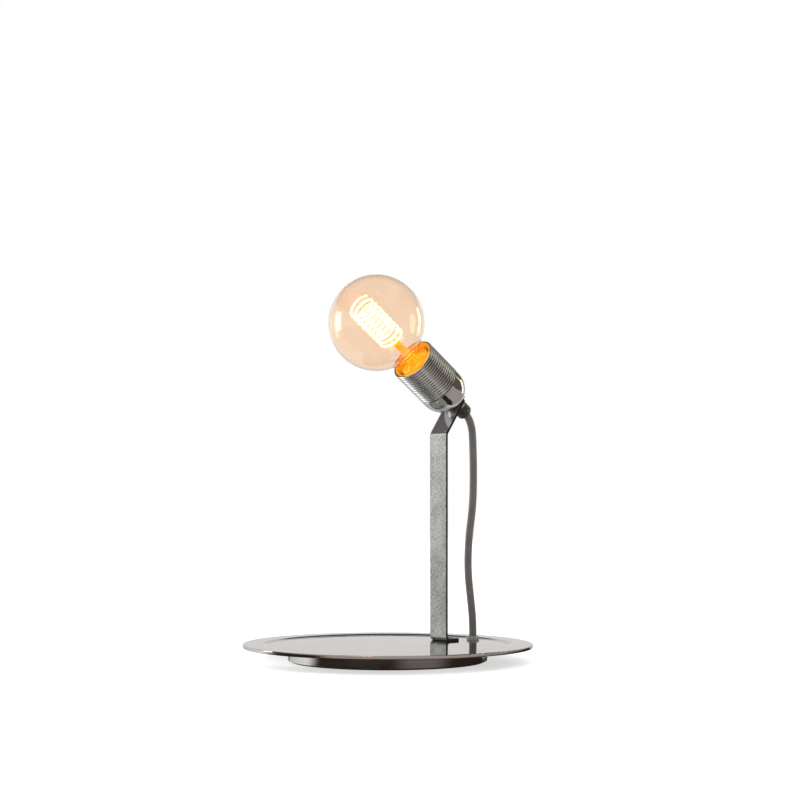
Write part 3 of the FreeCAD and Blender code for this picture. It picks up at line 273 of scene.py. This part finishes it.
class Finish(NodeTree):
    """A material: a principled shader with helpers for patterns in the object's own space. Plain
    values go straight on the shader's sockets, whose names have underscores for spaces here."""

    def __init__(self, name, **sockets):
        self.material = bpy.data.materials.new(name)
        self.material.use_nodes = True
        super().__init__(self.material.node_tree)
        self.shader = self.tree.nodes["Principled BSDF"]
        self.place = self.node("ShaderNodeTexCoord").outputs["Object"]
        for socket, value in sockets.items():
            self.shader.inputs[socket.replace("_", " ")].default_value = value

    def stretched(self, scale):
        """The object's space, scaled along its axes."""
        mapping = self.node("ShaderNodeMapping")
        mapping.inputs["Scale"].default_value = scale
        self.link(self.place, mapping.inputs["Vector"])
        return mapping.outputs["Vector"]

    def noise(self, per_metre, detail=3.0, space=None):
        """A soft noise from 0 to 1, with its cells by the metre."""
        made = self.node("ShaderNodeTexNoise")
        made.inputs["Scale"].default_value = per_metre
        made.inputs["Detail"].default_value = detail
        self.link(space or self.place, made.inputs["Vector"])
        return made.outputs["Fac"]

    def coordinate(self, axis):
        """The place along the object's X, Y or Z."""
        parts = self.node("ShaderNodeSeparateXYZ")
        self.link(self.place, parts.inputs[0])
        return parts.outputs[axis]

    def about(self, middle, axis):
        """How far along an axis a place lies from its middle, and how far out from the axis."""
        offset = self.vector("SUBTRACT", self.place, middle)["Vector"]
        along = self.vector("DOT_PRODUCT", offset, axis)["Value"]
        across = self.vector("CROSS_PRODUCT", offset, axis)["Vector"]
        return along, self.vector("LENGTH", across)["Value"]

    def ramp(self, factor, *stops):
        """A colour ramp: (position, colour) by stop."""
        made = self.node("ShaderNodeValToRGB")
        elements = made.color_ramp.elements
        while len(elements) < len(stops):
            elements.new(0.5)
        for element, (position, colour) in zip(elements, stops):
            element.position = position
            element.color = (*colour, 1)
        self.link(factor, made.inputs["Fac"])
        return made.outputs["Color"]

    def mottled(self, factor, dark, light):
        """Dark where a noise is low, light where it is high."""
        return self.ramp(factor, (MOTTLE_LOW, dark), (MOTTLE_HIGH, light))

    def spread(self, factor, low, high):
        """A factor from 0 to 1, carried over to the span from low to high."""
        made = self.node("ShaderNodeMapRange")
        made.inputs["To Min"].default_value = low
        made.inputs["To Max"].default_value = high
        self.link(factor, made.inputs["Value"])
        return made.outputs["Result"]

    def tint(self, colour):
        """The shader's colour, from an output."""
        self.link(colour, self.shader.inputs["Base Color"])

    def rough(self, factor, low, high):
        """The shader's roughness, by a factor."""
        self.link(self.spread(factor, low, high), self.shader.inputs["Roughness"])

    def bump(self, height, depth, strength=1.0):
        """A bump whose full height is depth, in metres; it adds to an earlier one."""
        made = self.node("ShaderNodeBump")
        made.inputs["Strength"].default_value = strength
        made.inputs["Distance"].default_value = depth
        self.link(height, made.inputs["Height"])
        normal = self.shader.inputs["Normal"]
        if normal.is_linked:
            self.link(normal.links[0].from_socket, made.inputs["Normal"])
        self.link(made.outputs["Normal"], normal)

    def emission(self, colour, strength):
        """The shader's own light: its colour from an output, its strength a plain number."""
        self.link(colour, self.shader.inputs["Emission Color"])
        self.shader.inputs["Emission Strength"].default_value = strength


def polished_steel():
    """Mirror-polished steel with faint smears and the last marks of the polishing wheel."""
    finish = Finish("polished_steel", Metallic=1.0, Specular_Tint=(0.66, 0.65, 0.64, 1))
    smears = finish.noise(28, 4)
    finish.tint(finish.mottled(smears, (0.58, 0.57, 0.56), (0.68, 0.67, 0.66)))
    finish.rough(smears, 0.03, 0.10)
    finish.bump(finish.noise(900, 2), 0.00001, 0.15)
    return finish.material


def turned_steel():
    """Steel with the fine rings of the lathe, which blur what it mirrors."""
    finish = Finish("turned_steel", Metallic=1.0, Specular_Tint=(0.66, 0.65, 0.64, 1))
    rings = finish.noise(900, 4, finish.stretched((0.02, 0.02, 1)))
    finish.tint(finish.mottled(rings, (0.56, 0.55, 0.54), (0.70, 0.69, 0.68)))
    finish.rough(rings, 0.07, 0.13)
    finish.bump(rings, 0.00002, 0.3)
    return finish.material


HOLDER_MIDDLE = middle_of("threaded_sleeve")
HOLDER_AXIS = (HOLDER_MIDDLE - middle_of("nipple")).normalized()

# The bulb's light in the holder's mouth: how far out from the axis it reaches and fades, and how
# deep it goes from the sleeve's end.
SLEEVE_HALF = 0.021
LIT_RADIUS = 0.0186
LIT_FADE = 0.0006
LIT_DEEP = 0.012
LIT_ORANGE = (1.0, 0.30, 0.012)
LIT_AMBER = (1.0, 0.42, 0.03)


def lit_inside(finish, colour, strength):
    """Gives a finish its colour, and the bulb's light on the inside of the holder's mouth: more
    towards the open end."""
    along, out = finish.about(HOLDER_MIDDLE, HOLDER_AXIS)
    deep = finish.step(along, SLEEVE_HALF - LIT_DEEP, SLEEVE_HALF)
    inside = finish.step(out, LIT_RADIUS, LIT_RADIUS - LIT_FADE)
    lit = finish.combine("MULTIPLY", deep, inside)
    flow = finish.noise(260, 3)
    glow = finish.mottled(flow, LIT_ORANGE, LIT_AMBER)
    finish.tint(finish.blend(lit, colour, glow))
    finish.emission(finish.blend(lit, (0.0, 0.0, 0.0), glow), strength)


def dark_chrome():
    """Dark mirror plating, lit where it lies inside the holder's mouth."""
    finish = Finish("dark_chrome", Metallic=1.0, Specular_Tint=(0.7, 0.7, 0.66, 1))
    smears = finish.noise(60, 4)
    plating = finish.mottled(smears, (0.50, 0.52, 0.52), (0.62, 0.63, 0.60))
    lit_inside(finish, plating, 0.9)
    finish.rough(smears, 0.06, 0.14)
    finish.bump(finish.noise(1400, 2), 0.00001, 0.2)
    return finish.material


# Where the strap's zinc is smoother and painted lighter above its bend, a painted highlight, and
# where its cut edges are dark.
BEND_HEIGHT = 0.1912
BEND_SPAN = 0.002
STRAP_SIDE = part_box("strap")[1].x
CUT_START = STRAP_SIDE - 0.0004
CUT_FULL = STRAP_SIDE - 0.0002
WEAVE_FINE = 1300


def galvanised_steel():
    """Zinc in fine mottled greys like a weave, smoother above the bend with a painted highlight
    there, with dark cut edges.
    """
    finish = Finish("galvanised_steel", Metallic=0.8)
    warp = finish.noise(WEAVE_FINE, 4, finish.stretched((2.0, 1, 0.3)))
    weft = finish.noise(WEAVE_FINE, 4, finish.stretched((0.3, 1, 2.0)))
    weave = finish.combine("MULTIPLY", finish.combine("ADD", warp, weft), 0.42)
    cloud = finish.combine("MULTIPLY", finish.noise(60, 2), 0.16)
    weave = finish.combine("ADD", weave, cloud)
    zinc = finish.ramp(weave, (0.41, (0.10, 0.105, 0.095)), (0.5, (0.265, 0.27, 0.255)),
                       (0.59, (0.46, 0.465, 0.45)))
    # Painted highlight above the bend: lighter zinc there, with a smoother finish.
    painted_highlight_and_smoothing = finish.step(finish.coordinate("Z"), BEND_HEIGHT - BEND_SPAN, BEND_HEIGHT + BEND_SPAN)
    sides = finish.combine("ABSOLUTE", finish.coordinate("X"))
    cut_edge = finish.step(sides, CUT_START, CUT_FULL)
    # The painted highlight's lighter grey, above the bend.
    metal = finish.blend(painted_highlight_and_smoothing, zinc, (0.54, 0.53, 0.53))
    finish.tint(finish.blend(cut_edge, metal, (0.07, 0.06, 0.055)))
    smoothing = finish.spread(painted_highlight_and_smoothing, 1.0, 0.2)
    rough = finish.combine("MULTIPLY", finish.spread(weave, 0.36, 0.56), smoothing)
    finish.link(rough, finish.shader.inputs["Roughness"])
    finish.bump(finish.combine("MULTIPLY", weave, smoothing), 0.00006, 0.5)
    return finish.material


def zinc_steel():
    """Bright zinc plating on turned and threaded pieces."""
    finish = Finish("zinc_steel", Metallic=1.0)
    mottle = finish.noise(500, 4)
    finish.tint(finish.mottled(mottle, (0.50, 0.50, 0.46), (0.66, 0.66, 0.62)))
    finish.rough(mottle, 0.20, 0.38)
    finish.bump(finish.noise(3000, 2), 0.00002, 0.3)
    return finish.material


def brass():
    """Satin brass, a little dulled, lit where it lies inside the holder's mouth."""
    finish = Finish("brass", Metallic=1.0)
    tarnish = finish.noise(240, 5)
    metal = finish.mottled(tarnish, (0.42, 0.27, 0.09), (0.66, 0.46, 0.18))
    lit_inside(finish, metal, 0.7)
    finish.rough(tarnish, 0.22, 0.42)
    finish.bump(finish.noise(2500, 2), 0.00002, 0.3)
    return finish.material


def clear_glass():
    """Clear glass with a warm tint, faint waves and a breath of haze."""
    finish = Finish("clear_glass", IOR=1.45, Transmission_Weight=1.0)
    waves = finish.noise(35, 2)
    finish.tint(finish.mottled(waves, (0.975, 0.800, 0.640), (0.975, 0.850, 0.740)))
    finish.rough(waves, 0.0, 0.06)
    finish.bump(waves, 0.00008, 0.3)
    return finish.material


def lit_stem():
    """The stem's glass, deep orange with the filament's light that runs down it."""
    finish = Finish("lit_stem", IOR=1.45, Transmission_Weight=0.3, Roughness=0.2)
    flow = finish.noise(160, 3)
    glow = finish.mottled(flow, (1.0, 0.22, 0.0), (1.0, 0.36, 0.01))
    finish.tint(glow)
    finish.emission(glow, 1.1)
    finish.bump(flow, 0.0001, 0.4)
    return finish.material


def porcelain():
    """Glazed ceramic with a few specks."""
    finish = Finish("porcelain", Coat_Weight=0.6, Coat_Roughness=0.05)
    specks = finish.noise(1600, 2)
    finish.tint(finish.ramp(specks, (0.28, (0.55, 0.52, 0.46)), (0.36, (0.80, 0.78, 0.72))))
    finish.rough(finish.noise(200), 0.15, 0.3)
    finish.bump(finish.noise(300), 0.00005, 0.2)
    return finish.material


def glowing_filament():
    """The glowing coil, uneven along its wire."""
    finish = Finish("glowing_filament", Roughness=0.6)
    heat = finish.noise(300, 2)
    glow = finish.mottled(heat, (1.0, 0.42, 0.08), (1.0, 0.55, 0.16))
    finish.tint(glow)
    finish.emission(glow, 13.0)
    return finish.material


def black_glass():
    """The dark button of a bulb's cap, with a few flow marks."""
    finish = Finish("black_glass")
    flow = finish.noise(400, 3)
    finish.tint(finish.mottled(flow, (0.006, 0.006, 0.008), (0.02, 0.018, 0.022)))
    finish.rough(flow, 0.05, 0.15)
    finish.bump(flow, 0.00003, 0.3)
    return finish.material


def grey_rubber():
    """Soft translucent grey grommet."""
    finish = Finish("grey_rubber", Transmission_Weight=0.35, IOR=1.45)
    cloud = finish.noise(400, 3)
    finish.tint(finish.mottled(cloud, (0.40, 0.41, 0.38), (0.56, 0.57, 0.54)))
    finish.rough(cloud, 0.25, 0.45)
    finish.bump(finish.noise(1200), 0.00003, 0.3)
    return finish.material


def dark_sheath():
    """The lead's smooth sheath, with a fine drawn grain."""
    finish = Finish("dark_sheath", Coat_Weight=0.15, Coat_Roughness=0.4)
    cloud = finish.noise(120, 4)
    finish.tint(finish.mottled(cloud, (0.150, 0.134, 0.128), (0.195, 0.176, 0.170)))
    finish.rough(cloud, 0.42, 0.58)
    finish.bump(finish.noise(2200, 2), 0.00003, 0.35)
    return finish.material


def black_plastic():
    """Moulded black plastic with a fine spark texture."""
    finish = Finish("black_plastic")
    cloud = finish.noise(80, 3)
    finish.tint(finish.mottled(cloud, (0.034, 0.031, 0.028), (0.056, 0.051, 0.046)))
    finish.rough(finish.noise(900, 3), 0.30, 0.46)
    finish.bump(finish.noise(2600, 2), 0.00004, 0.5)
    return finish.material


def felt():
    """Pressed grey felt: fibres in every direction."""
    finish = Finish("felt", Sheen_Weight=0.4, Sheen_Roughness=0.5)
    fibres = finish.noise(1800, 6, finish.stretched((1, 3, 1)))
    finish.tint(finish.mottled(fibres, (0.012, 0.012, 0.013), (0.045, 0.043, 0.042)))
    finish.rough(fibres, 0.85, 1.0)
    finish.bump(fibres, 0.0002, 0.8)
    return finish.material


def core_sheath():
    """The cores' thin blue insulation."""
    finish = Finish("core_sheath")
    cloud = finish.noise(600, 3)
    finish.tint(finish.mottled(cloud, (0.030, 0.060, 0.22), (0.050, 0.085, 0.28)))
    finish.rough(cloud, 0.4, 0.55)
    finish.bump(finish.noise(2500), 0.00002, 0.3)
    return finish.material


def tin():
    """Tinned and nickelled contact metal."""
    finish = Finish("tin", Metallic=1.0)
    wear = finish.noise(450, 4)
    finish.tint(finish.mottled(wear, (0.52, 0.51, 0.48), (0.70, 0.69, 0.66)))
    finish.rough(wear, 0.18, 0.36)
    finish.bump(finish.noise(2600), 0.00002, 0.3)
    return finish.material


FINISHES = {
    polished_steel: ["base_disc"],
    turned_steel: ["plinth_weight"],
    dark_chrome: ["holder_cap", "threaded_sleeve"],
    galvanised_steel: ["strap"],
    zinc_steel: ["plinth_screws", "strap_screws", "strap_washers", "nipple", "inner_lock_nut",
                 "lock_washer", "outer_lock_nut", "grip_screw", "switch_screws"],
    brass: ["terminal_screws", "screw_shell", "centre_contact", "bulb_cap", "switch_contacts"],
    clear_glass: ["bulb_glass"],
    lit_stem: ["glass_stem"],
    porcelain: ["porcelain_insert"],
    glowing_filament: ["filament"],
    black_glass: ["bulb_insulator"],
    grey_rubber: ["grommet"],
    dark_sheath: ["cord_lead", "cord_link", "cord_coil", "cord_tail"],
    black_plastic: ["cord_grip", "cord_tie", "switch_base", "switch_cover", "switch_rocker",
                    "plug_body"],
    felt: ["felt_pad"],
    core_sheath: ["inner_leads", "switch_cores"],
    tin: ["bulb_contact", "filament_supports", "plug_pins"],
}


def dress(leads):
    """Give every node its finish, and the leads theirs."""
    for make, nodes in FINISHES.items():
        material = make()
        for node in nodes:
            NODES[node].data.materials.clear()
            NODES[node].data.materials.append(material)
        if make is dark_sheath:
            for lead in leads:
                lead.data.materials.append(material)


# ---- Studio -------------------------------------------------------------------------------------

def stage_mesh(name, corners, faces, material):
    """A flat stage piece of its corners and faces."""
    data = bpy.data.meshes.new(name)
    data.from_pydata(corners, [], faces)
    data.materials.append(material)
    piece = bpy.data.objects.new(name, data)
    bpy.context.scene.collection.objects.link(piece)
    return piece


FLOOR_REACH = 3.0
FLOOR_LIFT = 0.6


def floor():
    """A plain pale floor. It shines a little for the camera, so that it renders white where nothing
    shades it."""
    finish = Finish("floor", Roughness=0.9, Specular_IOR_Level=0.0)
    speckle = finish.noise(300, 3)
    finish.tint(finish.mottled(speckle, (0.86, 0.86, 0.86), (0.90, 0.90, 0.90)))
    finish.shader.inputs["Emission Color"].default_value = (1, 1, 1, 1)
    light_path = finish.node("ShaderNodeLightPath")
    seen = finish.spread(light_path.outputs["Is Camera Ray"], 0.0, FLOOR_LIFT)
    finish.link(seen, finish.shader.inputs["Emission Strength"])
    corners = [(x * FLOOR_REACH, y * FLOOR_REACH, 0) for x, y in ((-1, -1), (1, -1), (1, 1), (-1, 1))]
    stage_mesh("floor", corners, [(0, 1, 2, 3)], finish.material)


WHITE = (1.0, 1.0, 1.0)

# The card on the floor: its reach and height, and the ring where its near tone turns to the far.
PLINTH_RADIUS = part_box("plinth_weight")[1].x
CARD_REACH = 2.5
CARD_HEIGHT = 0.0005
NEAR_EDGE = 0.22
FAR_EDGE = 0.26
CARD_BROWN = (0.030, 0.019, 0.013)
CARD_SOFT = (0.17, 0.15, 0.14)
CARD_GREY = (0.48, 0.42, 0.40)

# Bearings round the plinth, in whole degrees: the card's own, and where its tones fade over.
CARD_BEARINGS = range(-78, 72, 2)
NEAR_BROWN_IN = (-54, -42)
NEAR_SOFT_IN = (0, 14)
NEAR_SOFT_OUT = (24, 40)
FAR_BROWN_IN = (-54, -46)
FAR_GREY_IN = (-28, -20)


def mirrored_line(bearing, reach):
    """Where the plinth's side, at a bearing from the camera's side, mirrors the floor: the point
    that lies at a reach from the side. Bearings are in degrees, with a minus to the left."""
    side, out = math.radians(bearing), math.radians(2 * bearing)
    start = Vector((math.sin(side), -math.cos(side))) * PLINTH_RADIUS
    spot = start + Vector((math.sin(out), -math.cos(out))) * reach
    return lay(spot.x, spot.y, CARD_HEIGHT)


def fade(place, start, end):
    """0 at start, 1 at end, smooth between and flat outside."""
    share = min(max((place - start) / (end - start), 0), 1)
    return share * share * (3 - 2 * share)


def mixed(share, first, second):
    """The first colour at 0, the second at 1."""
    return tuple(one + share * (other - one) for one, other in zip(first, second))


def near_tone(bearing):
    """White on the left, then brown, with a soft grey a little right of the middle."""
    tone = mixed(fade(bearing, *NEAR_BROWN_IN), WHITE, CARD_BROWN)
    soft = fade(bearing, *NEAR_SOFT_IN) - fade(bearing, *NEAR_SOFT_OUT)
    return mixed(soft, tone, CARD_SOFT)


def far_tone(bearing):
    """White on the left, a little brown and then grey."""
    tone = mixed(fade(bearing, *FAR_BROWN_IN), WHITE, CARD_BROWN)
    return mixed(fade(bearing, *FAR_GREY_IN), tone, CARD_GREY)


def floor_card():
    """A shaded card on the floor in front and at the sides, which only polished metal sees. It
    has one tone near the lamp and another farther off, by the plinth's bearing that mirrors it."""
    finish = Finish("floor_card", Base_Color=(0, 0, 0, 1), Specular_IOR_Level=0.0)
    near, far = (finish.node("ShaderNodeAttribute", attribute_name=name).outputs["Color"]
                 for name in ("near", "far"))
    distance = finish.vector("LENGTH", finish.place)["Value"]
    finish.emission(finish.blend(finish.step(distance, NEAR_EDGE, FAR_EDGE), near, far), 1.0)
    corners = [mirrored_line(bearing, reach) for bearing in CARD_BEARINGS
               for reach in (0, CARD_REACH)]
    faces = [(2 * index, 2 * index + 1, 2 * index + 3, 2 * index + 2)
             for index in range(len(CARD_BEARINGS) - 1)]
    card = stage_mesh("floor_card", corners, faces, finish.material)
    for name, tone in (("near", near_tone), ("far", far_tone)):
        colours = card.data.color_attributes.new(name, "FLOAT_COLOR", "POINT").data
        for index in range(len(corners)):
            colours[index].color = (*tone(CARD_BEARINGS[index // 2]), 1)
    card.visible_camera = False
    card.visible_diffuse = False
    card.visible_transmission = False
    card.visible_shadow = False


# The place on the lamp that the softboxes look at.
AIM = Vector((0, 0, 0.2))


def soft_light(name, right, away, height, wide, tall, power, colour):
    """A softbox that looks at the lamp, from a place by the lay of the lead."""
    data = bpy.data.lights.new(name, "AREA")
    data.shape = "RECTANGLE"
    data.size = wide
    data.size_y = tall
    data.energy = power
    data.color = colour
    light = bpy.data.objects.new(name, data)
    light.location = lay(right, away, height)
    light.rotation_euler = (AIM - light.location).to_track_quat("-Z", "Y").to_euler()
    bpy.context.scene.collection.objects.link(light)


class World(NodeTree):
    """The studio's world, with helpers for parts of it by direction."""

    def __init__(self):
        world = bpy.data.worlds.new("studio")
        world.use_nodes = True
        super().__init__(world.node_tree)
        self.background = self.tree.nodes["Background"]
        self.ray = self.node("ShaderNodeTexCoord").outputs["Generated"]
        bpy.context.scene.world = world

    def towards(self, direction, start, end):
        """0 to 1 by how far a ray points in a direction: 0 at the start cosine, 1 at the end one."""
        return self.step(self.vector("DOT_PRODUCT", self.ray, direction)["Value"], start, end)


WARM_WHITE = (1.0, 0.92, 0.72)
PLAIN = (0.80, 0.80, 0.80)
DARK_ROOM = (0.150, 0.115, 0.080)
DARK_CEILING = (0.080, 0.072, 0.068)
PALE_TOP = (0.50, 0.49, 0.47)
UP = Vector((0, 0, 1))

# Where each part of the surround fades in, as cosines to its direction: sideways and by height.
WALL_SIDE = (0.08, 0.2)
WALL_TOP = (0.42, 0.34)
BACKDROP_SIDE = (0.76, 0.84)
BACKDROP_TOP = (0.36, 0.28)
CEILING_FROM = (0.4, 0.55)
PALE_FROM = (0.66, 0.88)


def white_surround():
    """White for the camera and through glass, plain grey for soft light. For reflections a
    backdrop behind and a wall on the left are white, the camera's side is a dark room, and its
    dark ceiling is pale at the top."""
    world = World()
    wall = world.combine("MINIMUM", world.towards(-RIGHT, *WALL_SIDE), world.towards(UP, *WALL_TOP))
    backdrop = world.combine("MINIMUM", world.towards(AWAY, *BACKDROP_SIDE),
                             world.towards(UP, *BACKDROP_TOP))
    ceiling = world.blend(world.towards(UP, *PALE_FROM), DARK_CEILING, PALE_TOP)
    room = world.blend(world.towards(UP, *CEILING_FROM), DARK_ROOM, ceiling)
    reflected = world.blend(world.combine("MAXIMUM", wall, backdrop), room, WHITE)
    rays = world.node("ShaderNodeLightPath").outputs
    glossy = world.blend(rays["Is Glossy Ray"], PLAIN, reflected)
    clear = world.combine("MAXIMUM", rays["Is Camera Ray"], rays["Is Transmission Ray"])
    world.link(world.blend(clear, glossy, WHITE), world.background.inputs["Color"])


def studio():
    """A white background, two tall softboxes and a dark room on the camera's side."""
    bpy.context.scene.view_settings.view_transform = "Standard"
    white_surround()
    floor()
    floor_card()
    soft_light("left_softbox", right=-1.5, away=0.35, height=0.30, wide=0.55, tall=0.9, power=6,
               colour=WHITE)
    soft_light("right_softbox", right=1.3, away=0.95, height=0.45, wide=0.40, tall=0.8, power=3,
               colour=WARM_WHITE)


# ---- The whole scene ----------------------------------------------------------------------------

photo_camera()
leads = [upper_lead(), lower_lead()]
dress(leads)
studio()

bpy.context.view_layer.update()
